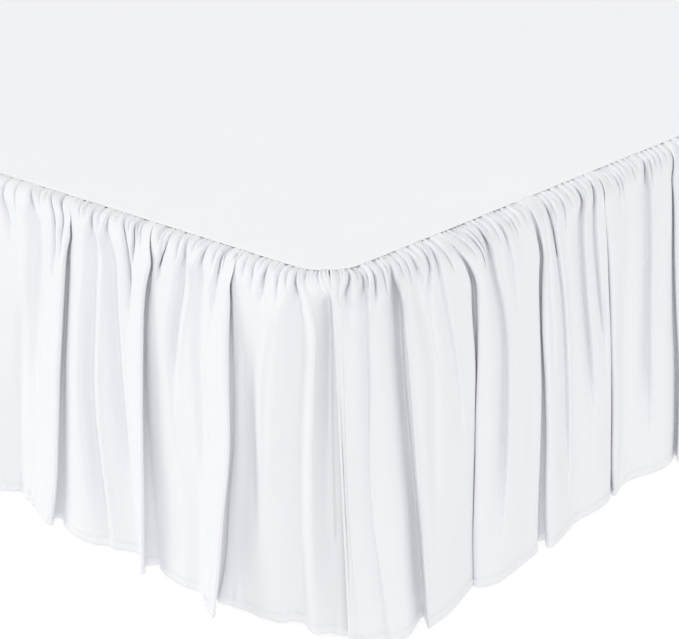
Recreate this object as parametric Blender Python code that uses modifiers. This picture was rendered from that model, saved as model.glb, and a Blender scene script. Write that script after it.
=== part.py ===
"""A ruffled bed skirt with split corners, on the box spring that it hangs from.

The deck lies on the box spring. Three gathered panels are sewn to its foot edge and its two long
edges. Each panel rolls over the box spring's rounded edge and hangs in deep folds to just above the
floor. The head end is open, as on a bed that stands against a wall.

Metres, +Z up. +Y points to the head, and the floor is at zero.
"""

import math
import random

import bmesh
import bpy
from mathutils import Vector

MM = 0.001

# Driving dimensions of the bed.
BED_WIDTH = 1.524
BED_LENGTH = 2.032
SEAM_HEIGHT = 0.380
LEG_HEIGHT = 0.165
SEAM_INSET = 0.012
CORNER_RADIUS = 0.042
TOP_EDGE_RADIUS = 0.014
BOTTOM_EDGE_RADIUS = 0.008

# Cloth.
CLOTH = 0.0015
SEAT_GAP = 0.0003
EDGE_CLEARANCE = 0.003
ROLL_RADIUS = 0.022
HEM_CLEARANCE = 0.005
FOLD_REACH = 0.060

# Legs.
LEG_TOP_RADIUS = 0.032
LEG_FOOT_RADIUS = 0.022
LEG_COLLAR = 0.012
LEG_CHAMFER = 0.003
LEG_INSET = 0.120
LEG_STEPS = 24
LEG_ROWS = 3

# Worked out from the dimensions above.
DECK_WIDTH = BED_WIDTH - 2 * SEAM_INSET
DECK_LENGTH = BED_LENGTH - SEAM_INSET
HEAD_Y = (DECK_LENGTH + FOLD_REACH) / 2
FOOT_SEAM_Y = HEAD_Y - DECK_LENGTH
SIDE_SEAM_X = DECK_WIDTH / 2
BOX_TOP = SEAM_HEIGHT - CLOTH - SEAT_GAP
EDGE_CENTRE_OUT = SEAM_INSET - TOP_EDGE_RADIUS
EDGE_CENTRE_HEIGHT = BOX_TOP - TOP_EDGE_RADIUS
FREE_HEIGHT = LEG_HEIGHT - 0.050
HANG = SEAM_HEIGHT - HEM_CLEARANCE

# The deep folds, in millimetres. "seam" is where a fold springs from the seam, measured along it
# from the corner. The other pairs are places along the bottom edge: how far along, and how far out
# from the seam line. The cloth comes forward at its tip, wanders over waist, belly and ebb, and ends
# tucked behind the next fold's tip.
FOLD_COLUMNS = (
    "seam",
    "tip", "tip_out",
    "waist", "waist_out",
    "belly", "belly_out",
    "ebb", "ebb_out",
    "tuck", "tuck_out",
)
FOOT_FOLDS = (
    (0, -12, 17, 18, 15, 57, 18, 100, 31, 124, 41),
    (115, 113, 56, 162, 36, 184, 40, 215, 30, 244, 34),
    (228, 227, 51, 293, 29, 344, 51, 372, 42, 397, 34),
    (350, 379, 53, 449, 34, 490, 49, 515, 42, 536, 34),
)
SIDE_FOLDS = (
    (0, 9, 26, 37, 32, 83, 61, 138, 42, 168, 35),
    (162, 159, 47, 200, 63, 238, 59, 262, 54, 282, 44),
    (283, 266, 61, 320, 54, 370, 57, 400, 50, 420, 42),
    (412, 409, 51, 446, 45, 505, 62, 535, 56, 562, 42),
)
KNOTS = ("tip", "waist", "belly", "ebb", "tuck")
TURNS = ("tip", "tuck")
TURN_SIZE = 0.020

# The softer creases between the deep folds, in millimetres and in shares of the hang: where each
# lies on the seam and at the bottom edge, where it starts and fades out, how deep and how wide.
CREASE_COLUMNS = ("seam", "bottom", "start", "fade", "depth", "width")
FOOT_CREASES = (
    (26, 16, 0.02, 1.10, 5.0, 10),
    (70, 82, 0.02, 0.80, 4.0, 9),
    (150, 158, 0.00, 0.34, 3.5, 8),
    (178, 188, 0.00, 0.38, 3.0, 8),
    (212, 214, 0.00, 0.28, 3.0, 7),
    (254, 250, 0.00, 0.24, 3.0, 7),
    (290, 268, 0.00, 0.75, 3.5, 9),
    (314, 334, 0.00, 0.65, 3.0, 9),
    (405, 422, 0.00, 0.75, 4.0, 9),
)
SIDE_CREASES = (
    (36, 32, 0.00, 0.18, 3.0, 6),
    (78, 79, 0.02, 1.10, 5.5, 9),
    (102, 97, 0.00, 0.24, 3.5, 7),
    (198, 194, 0.00, 0.22, 3.0, 7),
    (226, 231, 0.00, 0.32, 3.0, 7),
    (327, 334, 0.25, 0.80, 2.5, 10),
    (374, 400, 0.00, 0.70, 3.5, 8),
    (480, 475, 0.00, 0.65, 3.5, 8),
)

# How many steps of the mesh lie between one knot and the next.
STEPS_AFTER = {"start": 3, "tip": 3, "waist": 2, "belly": 2, "ebb": 2, "tuck": 1, "end": 2}

# Ranges for the folds past the ones above, in millimetres: the pitch of the tips, how far out each
# knot lies, and the places of the knots as shares of the pitch.
FOLD_PITCH = (112, 148)
TIP_RANGE = (47, 60)
WAIST_RANGE = (33, 52)
BELLY_RANGE = (44, 60)
EBB_RANGE = (38, 50)
TUCK_RANGE = (33, 42)
WAIST_SHARE = (0.30, 0.42)
BELLY_SHARE = (0.60, 0.72)
EBB_SHARE = (0.86, 0.92)
TUCK_SHARE = 1.06
SEAM_DRIFT = (-14, 14)
LAP_RANGE = (10, 18)
LAYER_GAP = 11
PLAIN_END = 60
LONGEST_LAST_FOLD = 1.6

# Ranges for the creases past the ones above.
CREASE_PITCH = (34, 62)
CREASE_DRIFT = (-16, 16)
CREASE_FADE = (0.22, 0.85)
CREASE_DEPTH = (2.5, 4.5)
CREASE_WIDTH = (7, 10)
CREASE_RISE = 0.05
CREASE_RUNOUT = 0.20
CREASE_REACH = 3

# Where a panel ends: how far back from the end of its edge, and how far out, in metres.
CORNER_END = ((0.057, 0.018), (0.018, 0.015), (-0.012, 0.017))
HEAD_END = ((0.045, 0.036), (0.020, 0.030), (CLOTH, 0.026))
END_MARGIN = 0.015

# The mesh rows of a panel: angles round its rolled shoulder, then shares of the whole hang.
SHOULDER_ANGLES = (0, 28, 58, 90)
HANG_SHARES = (0.17, 0.36, 0.64, 1.0)

# How the deep folds open towards the bottom edge.
GROWTH = 2.2

# Gathers below the seam, and the notches between the deep folds.
GATHER_RANGE = (0.0015, 0.0040)
GATHER_RISE = 0.006
GATHER_FADE = 0.30
NOTCH_DEPTH = 0.007
NOTCH_MIDDLE = 0.10
NOTCH_LENGTH = 0.22

# The seam, and the split corners, where a side panel laps over the foot panel.
SEAM_START = 0.0010
FREE_ANGLE = math.radians(24)
CORNER_GAP = 0.0012
LAP_LIFT = 0.0035
LAP_UNDER = 0.006
LAP_LENGTH = 0.030

SKIRT_WHITE = (0.86, 0.88, 0.90, 1.0)
DECK_WHITE = (0.88, 0.90, 0.92, 1.0)
TICKING_GREY = (0.70, 0.70, 0.69, 1.0)
LEG_BROWN = (0.16, 0.09, 0.05, 1.0)


def clear_scene():
    for old in list(bpy.data.objects):
        bpy.data.objects.remove(old, do_unlink=True)


def make_material(name, colour, roughness, metallic=0.0):
    material = bpy.data.materials.new(name)
    material.use_nodes = True
    shader = material.node_tree.nodes["Principled BSDF"]
    shader.inputs["Base Color"].default_value = colour
    shader.inputs["Roughness"].default_value = roughness
    shader.inputs["Metallic"].default_value = metallic
    return material


def add_object(name, shape, material, collection):
    mesh = bpy.data.meshes.new(name)
    shape.to_mesh(mesh)
    shape.free()
    mesh.materials.append(material)
    thing = bpy.data.objects.new(name, mesh)
    collection.objects.link(thing)
    return thing


# Plan of the seam.


class Edge:
    """One straight edge of the deck, with a rounded corner at its start and maybe at its end."""

    def __init__(self, corner, along, outward, length, round_end):
        self.corner = Vector(corner)
        self.along = Vector(along)
        self.outward = Vector(outward)
        self.length = length
        self.round_end = round_end

    def place(self, distance, out):
        """The plan point that lies out from the seam, distance along it from the corner."""
        left = self.length - distance
        if distance < CORNER_RADIUS:
            turn = -(1 - distance / CORNER_RADIUS) * math.pi / 4
            centre = self.corner + (self.along - self.outward) * CORNER_RADIUS
        elif self.round_end and left < CORNER_RADIUS:
            turn = (1 - left / CORNER_RADIUS) * math.pi / 4
            centre = self.corner + self.along * (self.length - CORNER_RADIUS)
            centre -= self.outward * CORNER_RADIUS
        else:
            return self.corner + self.along * distance + self.outward * out
        facing = self.outward * math.cos(turn) + self.along * math.sin(turn)
        return centre + facing * (CORNER_RADIUS + out)


FOOT_EDGE = Edge((SIDE_SEAM_X, FOOT_SEAM_Y), (-1, 0), (0, -1), DECK_WIDTH, True)
RIGHT_EDGE = Edge((SIDE_SEAM_X, FOOT_SEAM_Y), (0, 1), (1, 0), DECK_LENGTH, False)
LEFT_EDGE = Edge((-SIDE_SEAM_X, FOOT_SEAM_Y), (0, 1), (-1, 0), DECK_LENGTH, False)


# Folds.


def fold_rows(shown, length, rng):
    """The folds of one panel: the ones set above, then more in their manner up to its end."""
    rows = [dict(zip(FOLD_COLUMNS, row)) for row in shown]
    reach = length / MM - PLAIN_END
    while True:
        tip = rows[-1]["tuck"] - rng.uniform(*LAP_RANGE)
        pitch = rng.uniform(*FOLD_PITCH)
        last = tip + LONGEST_LAST_FOLD * pitch > reach
        if last:
            pitch = reach - tip
        rows.append({
            "seam": tip + rng.uniform(*SEAM_DRIFT),
            "tip": tip,
            "tip_out": max(rng.uniform(*TIP_RANGE), rows[-1]["ebb_out"] + LAYER_GAP),
            "waist": tip + pitch * rng.uniform(*WAIST_SHARE),
            "waist_out": rng.uniform(*WAIST_RANGE),
            "belly": tip + pitch * rng.uniform(*BELLY_SHARE),
            "belly_out": rng.uniform(*BELLY_RANGE),
            "ebb": tip + pitch * rng.uniform(*EBB_SHARE),
            "ebb_out": rng.uniform(*EBB_RANGE),
            "tuck": tip + pitch * TUCK_SHARE,
            "tuck_out": rng.uniform(*TUCK_RANGE),
        })
        if last:
            return rows


def crease_rows(shown, length, rng):
    """The creases of one panel: the ones set above, then more in their manner up to its end."""
    rows = [dict(zip(CREASE_COLUMNS, row)) for row in shown]
    place = rows[-1]["seam"] if rows else 0.0
    while place + CREASE_PITCH[1] < length / MM:
        place += rng.uniform(*CREASE_PITCH)
        rows.append({
            "seam": place,
            "bottom": place + rng.uniform(*CREASE_DRIFT),
            "start": 0.0,
            "fade": rng.uniform(*CREASE_FADE),
            "depth": rng.uniform(*CREASE_DEPTH),
            "width": rng.uniform(*CREASE_WIDTH),
        })
    return rows


def crease_at(creases, along, share):
    """How deep the creases are at a place, in metres."""
    depth = 0.0
    for row in creases:
        middle = row["seam"] + (row["bottom"] - row["seam"]) * share
        offset = (along / MM - middle) / row["width"]
        if abs(offset) > CREASE_REACH:
            continue
        opening = (share - row["start"]) / CREASE_RISE
        closing = (row["fade"] - share) / CREASE_RUNOUT
        strength = min(max(opening, 0.0), max(closing, 0.0), 1.0)
        depth += row["depth"] * strength * math.exp(-offset ** 2)
    return depth * MM


def heading(knots, i):
    """The way the cloth runs at a knot: straight out where it turns back, else past its neighbours."""
    if knots[i].name in TURNS:
        return Vector((0.0, TURN_SIZE)), True
    before = knots[max(i - 1, 0)].place
    after = knots[min(i + 1, len(knots) - 1)].place
    return (after - before).normalized(), False


def between(knots, i, share):
    """A point on the smooth curve from one knot to the next."""
    start = knots[i].place
    end = knots[i + 1].place
    length = (end - start).length
    ways = []
    for k in (i, i + 1):
        way, is_turn = heading(knots, k)
        ways.append(way if is_turn else way * length)
    square = share * share
    cube = square * share
    return (
        start * (2 * cube - 3 * square + 1)
        + ways[0] * (cube - 2 * square + share)
        + end * (3 * square - 2 * cube)
        + ways[1] * (cube - square)
    )


class Knot:
    """A named place on the bottom edge of a panel, and where its fold springs from the seam."""

    def __init__(self, name, place, seam=None):
        self.name = name
        self.place = Vector(place)
        self.seam = seam


class Column:
    """One line of cloth down a panel, from the seam to the bottom edge."""

    def __init__(self, bottom, pinned=None, is_tuck=False):
        self.bottom = bottom
        self.pinned = pinned
        self.is_tuck = is_tuck


def panel_columns(rows, end_places, seam_start, seam_end):
    """The columns of a panel, spaced along the smooth curve of its bottom edge."""
    knots = [
        Knot(name, Vector((row[name], row[name + "_out"])) * MM, row["seam"] * MM)
        for row in rows
        for name in KNOTS
    ]
    knots[0].name = "start"
    last_place = end_places[0][0] - END_MARGIN
    knots = [knot for knot in knots if knot.place.x < last_place]
    knots += [Knot("end", place) for place in end_places]
    columns = []
    for i, knot in enumerate(knots[:-1]):
        steps = STEPS_AFTER[knot.name]
        for step in range(steps):
            pinned = knot.seam if knot.name == "tip" and step == 0 else None
            is_tuck = knot.name == "tuck" and step == 0
            columns.append(Column(between(knots, i, step / steps), pinned, is_tuck))
    columns.append(Column(knots[-1].place, seam_end))
    columns[0].pinned = seam_start
    spread_on_seam(columns)
    return columns


def spread_on_seam(columns):
    """Shares the seam out between the pinned columns, in step with the length of cloth."""
    columns[0].cloth = 0.0
    for one, other in zip(columns, columns[1:]):
        other.cloth = one.cloth + (other.bottom - one.bottom).length
    pinned = [i for i, column in enumerate(columns) if column.pinned is not None]
    for first, last in zip(pinned, pinned[1:]):
        low = columns[first]
        high = columns[last]
        for column in columns[first:last + 1]:
            share = (column.cloth - low.cloth) / (high.cloth - low.cloth)
            column.seam = low.pinned + (high.pinned - low.pinned) * share


# Panels.


def hang_rows():
    """The mesh rows of a panel, as pairs: the angle round the shoulder, and the share of the hang."""
    angles = [math.radians(degrees) for degrees in SHOULDER_ANGLES]
    shoulder = [(angle, ROLL_RADIUS * (1 - math.cos(angle)) / HANG) for angle in angles]
    return shoulder + [(math.pi / 2, share) for share in HANG_SHARES]


def gather_at(share):
    """How strong the gathers are at a share of the hang: none on the seam, fading below it."""
    rise = min(share / GATHER_RISE, 1.0)
    return rise * max(0.0, 1 - share / GATHER_FADE)


def notch_at(share):
    return NOTCH_DEPTH * math.exp(-(((share - NOTCH_MIDDLE) / NOTCH_LENGTH) ** 2))


def clear_of_box(out, height, loose):
    """Moves a point of cloth off the box spring's face and its rounded upper edge."""
    if height < FREE_HEIGHT:
        return out, height
    away = Vector((max(out - EDGE_CENTRE_OUT, 0.0), max(height - EDGE_CENTRE_HEIGHT, 0.0)))
    gap = SEAT_GAP + (EDGE_CLEARANCE - SEAT_GAP) * loose
    least = TOP_EDGE_RADIUS + CLOTH / 2 + gap
    if away.length >= least:
        return out, height
    moved = away * (least / away.length) - away
    return out + moved.x, height + moved.y


def cloth_point(edge, column, gather, creases, angle, share, laps):
    """One point of a panel's middle surface."""
    outward = math.sin(angle)
    upward = math.cos(angle)
    loose = min(angle / FREE_ANGLE, 1.0)
    growth = 1 - (1 - share) ** GROWTH
    corner = math.exp(-((column.from_corner / LAP_LENGTH) ** 2))
    puff = gather * gather_at(share) + laps * LAP_LIFT * loose * corner
    if column.is_tuck:
        puff -= notch_at(share) * outward
    along = column.seam + (column.bottom.x - column.seam) * share
    along -= (1 - laps) * LAP_UNDER * outward ** 2 * corner * column.towards_end
    puff -= crease_at(creases, along, share)
    out = SEAM_START + (ROLL_RADIUS + puff) * outward + (column.bottom.y - ROLL_RADIUS) * growth
    slack = max(column.bottom.y - ROLL_RADIUS, 0.0) ** 2 / (2 * HANG)
    height = SEAM_HEIGHT - CLOTH / 2 - share * (HANG - CLOTH / 2) + slack * share + puff * upward
    out, height = clear_of_box(out, height, loose)
    plan = edge.place(along, out)
    return Vector((plan.x, plan.y, height))


def make_panel(name, edge, folds, shown_creases, laps, seed, material, collection):
    """One gathered panel. laps is 1 for a panel that lies over its neighbour at the corner."""
    rng = random.Random(seed)
    if edge.round_end:
        seam_end = edge.length - CORNER_GAP
        end_knots = [(edge.length - back, out) for back, out in CORNER_END]
    else:
        seam_end = edge.length - CLOTH
        end_knots = [(edge.length - back, out) for back, out in HEAD_END]
    rows = fold_rows(folds, edge.length, rng)
    creases = crease_rows(shown_creases, edge.length, rng)
    columns = panel_columns(rows, end_knots, CORNER_GAP, seam_end)
    full = columns[-1].cloth
    for column in columns:
        left = full - column.cloth
        near_end = edge.round_end and left < column.cloth
        column.from_corner = left if near_end else column.cloth
        column.towards_end = -1 if near_end else 1
    last = len(columns) - 1
    gathers = [rng.uniform(*GATHER_RANGE) if i % 2 == 0 else 0.0 for i in range(last + 1)]
    gathers[0] = gathers[last] = 0.0
    hang = hang_rows()
    shape = bmesh.new()
    bmesh.ops.create_grid(shape, x_segments=last, y_segments=len(hang) - 1, size=0.5)
    for vertex in shape.verts:
        i = round((vertex.co.x + 0.5) * last)
        j = round((0.5 - vertex.co.y) * (len(hang) - 1))
        vertex.co = cloth_point(edge, columns[i], gathers[i], creases, *hang[j], laps)
    panel = add_object(name, shape, material, collection)
    shell = panel.modifiers.new("cloth thickness", "SOLIDIFY")
    shell.thickness = CLOTH
    shell.offset = 0.0
    return panel


# Deck, box spring and legs.


def upright_edges(shape):
    return [e for e in shape.edges if abs(e.verts[0].co.z - e.verts[1].co.z) > 1e-5]


def level_edges(shape, height):
    return [e for e in shape.edges if all(abs(v.co.z - height) < 1e-6 for v in e.verts)]


def round_edges(shape, edges, radius, segments):
    bmesh.ops.bevel(
        shape, geom=edges, offset=radius, offset_type="OFFSET",
        segments=segments, profile=0.5, affect="EDGES", material=-1,
    )


def block(size):
    shape = bmesh.new()
    bmesh.ops.create_cube(shape, size=1.0)
    bmesh.ops.scale(shape, vec=size, verts=shape.verts)
    return shape


def make_deck(material, collection):
    """The flat cloth on the box spring, with its two foot corners rounded."""
    length = DECK_LENGTH - SEAT_GAP
    shape = block((DECK_WIDTH - 2 * SEAT_GAP, length, CLOTH))
    foot_corners = [edge for edge in upright_edges(shape) if edge.verts[0].co.y < 0]
    round_edges(shape, foot_corners, CORNER_RADIUS, 12)
    deck = add_object("deck", shape, material, collection)
    deck.location = (0, HEAD_Y - length / 2, SEAM_HEIGHT - CLOTH / 2)
    return deck


def make_box_spring(material, collection):
    depth = BOX_TOP - LEG_HEIGHT
    shape = block((BED_WIDTH, BED_LENGTH, depth))
    round_edges(shape, upright_edges(shape), CORNER_RADIUS + SEAM_INSET, 7)
    round_edges(shape, level_edges(shape, depth / 2), TOP_EDGE_RADIUS, 3)
    round_edges(shape, level_edges(shape, -depth / 2), BOTTOM_EDGE_RADIUS, 3)
    box = add_object("box_spring", shape, material, collection)
    box.location = (0, HEAD_Y - BED_LENGTH / 2, LEG_HEIGHT + depth / 2)
    return box


def leg_places():
    reach = BED_WIDTH / 2 - LEG_INSET
    foot = HEAD_Y - BED_LENGTH + LEG_INSET
    head = HEAD_Y - LEG_INSET
    for row in range(LEG_ROWS):
        y = foot + (head - foot) * row / (LEG_ROWS - 1)
        for x in (-reach, reach):
            yield x, y


def make_leg(name, place, material, collection):
    """A turned leg: a profile swept round, narrower at the floor, with a small chamfer there."""
    top = LEG_HEIGHT - SEAT_GAP
    profile = (
        (0, top),
        (LEG_TOP_RADIUS, top),
        (LEG_TOP_RADIUS, top - LEG_COLLAR),
        (LEG_FOOT_RADIUS, LEG_CHAMFER),
        (LEG_FOOT_RADIUS - LEG_CHAMFER, 0),
        (0, 0),
    )
    shape = bmesh.new()
    corners = [shape.verts.new((radius, 0, height)) for radius, height in profile]
    for one, other in zip(corners, corners[1:]):
        shape.edges.new((one, other))
    leg = add_object(name, shape, material, collection)
    turning = leg.modifiers.new("turned", "SCREW")
    turning.steps = LEG_STEPS
    turning.render_steps = LEG_STEPS
    turning.use_merge_vertices = True
    turning.merge_threshold = 0.00001
    leg.location = (*place, 0)
    return leg


def main():
    clear_scene()
    collection = bpy.data.collections.new("bed_skirt")
    bpy.context.scene.collection.children.link(collection)
    skirt_cloth = make_material("skirt_cloth", SKIRT_WHITE, 0.85)
    deck_cloth = make_material("deck_cloth", DECK_WHITE, 0.8)
    ticking = make_material("ticking", TICKING_GREY, 0.9)
    leg_wood = make_material("leg_wood", LEG_BROWN, 0.45)

    make_deck(deck_cloth, collection)
    panels = (
        ("skirt_foot", FOOT_EDGE, FOOT_FOLDS, FOOT_CREASES, 0, 11),
        ("skirt_side_right", RIGHT_EDGE, SIDE_FOLDS, SIDE_CREASES, 1, 23),
        ("skirt_side_left", LEFT_EDGE, SIDE_FOLDS[:1], SIDE_CREASES[:2], 1, 37),
    )
    for name, edge, folds, creases, laps, seed in panels:
        make_panel(name, edge, folds, creases, laps, seed, skirt_cloth, collection)
    make_box_spring(ticking, collection)
    for number, place in enumerate(leg_places(), start=1):
        make_leg(f"leg_{number}", place, leg_wood, collection)


main()
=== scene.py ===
"""The looks of a gathered bed skirt with split corners, on its box spring.

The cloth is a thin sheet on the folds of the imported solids, with its gathers, creases and hems.
Metres, +Z up. +Y points to the head, and the floor is at zero.
"""

import math
import random

import bmesh
import bpy
import numpy as np
from mathutils import Matrix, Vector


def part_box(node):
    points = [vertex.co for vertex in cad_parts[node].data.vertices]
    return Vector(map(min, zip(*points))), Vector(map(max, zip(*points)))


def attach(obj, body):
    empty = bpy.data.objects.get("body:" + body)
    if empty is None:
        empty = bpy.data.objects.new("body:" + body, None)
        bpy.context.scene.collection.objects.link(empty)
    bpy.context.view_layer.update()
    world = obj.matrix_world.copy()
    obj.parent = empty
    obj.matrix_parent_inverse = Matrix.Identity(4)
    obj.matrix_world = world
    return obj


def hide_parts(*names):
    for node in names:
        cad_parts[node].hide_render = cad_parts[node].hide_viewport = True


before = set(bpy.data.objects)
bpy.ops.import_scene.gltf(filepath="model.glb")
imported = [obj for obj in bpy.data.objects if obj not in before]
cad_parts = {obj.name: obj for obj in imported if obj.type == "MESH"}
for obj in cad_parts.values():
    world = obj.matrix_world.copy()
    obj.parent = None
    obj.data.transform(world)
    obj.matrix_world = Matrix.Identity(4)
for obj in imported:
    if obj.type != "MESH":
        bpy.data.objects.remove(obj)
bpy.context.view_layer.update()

MM = 0.001

# The photograph's frame and camera.
PHOTO_SIZE = (679, 639)
FOCAL_PIXELS = 1464.2
SENSOR_WIDTH = 36.0
CAMERA_PLACE = (1.57096, -1.85237, 0.84065)
CAMERA_HEADING = -0.74834847
CAMERA_PITCH = 0.39650269
CAMERA_ROLL = -0.01712562
FOOT_SLANT = math.tan(-CAMERA_HEADING)
SIDE_SLANT = 1 / FOOT_SLANT

# Sizes of the bed, read from the frame.
BOX_LOW, BOX_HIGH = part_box("box_spring")
SEAM_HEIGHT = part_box("deck")[1].z
SEAM_INSET = 0.012
CORNER_RADIUS = 0.042
BOX_TOP = BOX_HIGH.z
SIDE_SEAM_X = (BOX_HIGH.x - BOX_LOW.x) / 2 - SEAM_INSET
FOOT_SEAM_Y = BOX_LOW.y + SEAM_INSET
HEAD_Y = BOX_HIGH.y
DECK_WIDTH = 2 * SIDE_SEAM_X
DECK_LENGTH = HEAD_Y - FOOT_SEAM_Y

# The box spring's soft upper edge, under the cloth's shoulder.
SOFT_EDGE_RADIUS = 0.036
SOFT_CENTRE_OUT = SEAM_INSET - SOFT_EDGE_RADIUS
SOFT_CENTRE_HEIGHT = BOX_TOP - SOFT_EDGE_RADIUS
EDGE_CLEARANCE = 0.001
FREE_HEIGHT = 0.115

# Cloth.
SOLID_CLOTH = 0.0015
CLOTH = 0.0006
ROLL_RADIUS = 0.022
MEAN_REACH = 0.047
HEM_CLEARANCE = 0.005
HANG = SEAM_HEIGHT - HEM_CLEARANCE
HEM_WIDTH = 0.011
HEM_THREADS = 0.0009
HEM_TURN = (0.0, 0.5, 1.0)
HEM_STEP = 0.0008
STITCH_DEPTH = 0.0012
HEM_RIPPLE = 0.0027
RIPPLE_WIDTH = 0.012

# Unevenness of the cloth: depth, width, length and the share of the hang where it's full.
UNEVENNESS = ((0.0010, 0.055, 0.16, 0.1), (0.0005, 0.021, 0.06, 0.06))
FINE_UNEVENNESS = 0.0009

# The deep folds of the solids, in millimetres: where each springs from the seam, then places along
# the bottom edge and how far out from the seam line they lie.
FOLD_COLUMNS = (
    "seam", "tip", "tip_out", "waist", "waist_out",
    "belly", "belly_out", "ebb", "ebb_out", "tuck", "tuck_out",
)
FOOT_FOLDS = (
    (0, -12, 17, 18, 15, 57, 18, 100, 31, 124, 41),
    (115, 113, 56, 162, 36, 184, 40, 215, 30, 244, 34),
    (228, 227, 51, 293, 29, 344, 51, 372, 42, 397, 34),
    (350, 379, 53, 449, 34, 490, 49, 515, 42, 536, 34),
)
SIDE_FOLDS = (
    (0, 9, 26, 45, 50, 95, 60, 138, 42, 168, 35),
    (162, 159, 47, 200, 63, 238, 59, 262, 54, 282, 44),
    (283, 266, 61, 320, 54, 370, 57, 400, 50, 420, 42),
    (412, 409, 51, 446, 45, 505, 62, 535, 56, 562, 42),
)

# The paths of the deep folds down the hang, after each panel's first, in millimetres: the tip's
# place as if it hung level with the mean of the cloth, how much of the layer behind it shows, and
# how deep that lies.
PATH_SHARES = (0.0, 0.03, 0.07, 0.12, 0.20, 0.32, 0.48, 0.68, 0.86, 1.0)
FOOT_PATHS = (
    ((107, 101, 103, 102, 101, 98, 95, 104, 113, 122),
     (2, 3, 5, 6, 7, 7, 5, 7, 8, 5),
     (0, 1, 2, 3, 3, 3, 3, 4, 5, 4)),
    ((227, 217, 212, 216, 220, 221, 222, 223, 227, 232),
     (2, 3, 5, 8, 8, 6, 6, 11, 19, 24),
     (0, 2, 3, 3, 3, 3, 3, 4, 6, 8)),
    ((355, 340, 338, 342, 345, 349, 355, 363, 373, 387),
     (2, 4, 7, 9, 11, 11, 11, 12, 15, 18),
     (0, 1, 2, 2, 2, 2, 2, 3, 5, 8)),
)
SIDE_PATHS = (
    ((147, 153, 166, 175, 175, 171, 165, 160, 158, 160),
     (3, 7, 10, 12, 12, 7, 4, 4, 3, 2),
     (0, 1, 1, 1, 2, 3, 4, 4, 4, 3)),
    ((279, 277, 282, 286, 281, 277, 278, 278, 279, 284),
     (3, 6, 9, 10, 9, 7, 9, 13, 16, 19),
     (0, 1, 2, 2, 2, 3, 4, 5, 6, 8)),
    ((406, 402, 400, 400, 402, 403, 404, 407, 410, 414),
     (2, 3, 4, 4, 5, 5, 5, 5, 5, 6),
     (0, 1, 2, 3, 3, 4, 4, 4, 4, 4)),
    ((552, 543, 537, 536, 534, 531, 533, 541, 547, 550),
     (3, 4, 6, 7, 8, 9, 9, 9, 8, 8),
     (0, 1, 2, 3, 3, 4, 4, 5, 5, 5)),
)

# The same for the folds past those: a lean towards the corner, and multiples of a random size.
LEAN_SHAPE = (0.0, 0.6, 0.9, 1.0, 0.9, 0.7, 0.45, 0.2, 0.08, 0.0)
LEAN_RANGE = (-3, 16)
BAND_SHAPE = (3, 4, 6, 8, 9, 9, 9, 11, 13, 13)
BAND_RANGE = (0.5, 1.4)
DEPTH_SHAPE = (0, 1, 2, 3, 3, 3, 4, 5, 6, 7)

# Ranges for the folds past the ones above, as in the solids: how far apart they are, where their
# lines lie, in shares of that, and how far out.
FOLD_PITCH = (112, 148)
SEAM_DRIFT = (-14, 14)
TIP_RANGE = (47, 60)
FOLD_LINES = (
    ("waist", (0.30, 0.42), (33, 52)),
    ("belly", (0.60, 0.72), (44, 60)),
    ("ebb", (0.86, 0.92), (38, 50)),
)
TUCK_SHARE = 1.06
TUCK_RANGE = (33, 42)
LAP_RANGE = (10, 18)
LAYER_GAP = 11
PLAIN_END = 60
LONGEST_LAST_FOLD = 1.6

# Where a panel ends: how far back from the end of its edge, and how far out, in metres.
CORNER_END = ((0.057, 0.018), (0.018, 0.015), (-0.012, 0.017))
HEAD_END = ((0.045, 0.036), (0.020, 0.030), (SOLID_CLOTH, 0.026))
END_MARGIN = 0.015

# How the deep folds open towards the bottom edge, and the seam and split corners, in metres.
GROWTH = 2.2
NARROWEST_BAND = 0.002
BROW_RISE = 0.003
TIP_LIFT = 0.0025
FLOOR_STEP = 0.003
TUCK_LAP = 0.011
TUCK_DROP = 0.010
TUCK_STEP = 0.005
TURN_SIZE = 0.020
SEAM_START = 0.0003
SEAM_DROP = 0.0006
TONGUE = (-0.0022, 0.0018)
FREE_ANGLE = math.radians(24)
CORNER_GAP = 0.0012
CORNER_FULLNESS = 0.013
LAP_LIFT = 0.0035
LAP_UNDER = 0.006
LAP_LENGTH = 0.030

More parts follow.
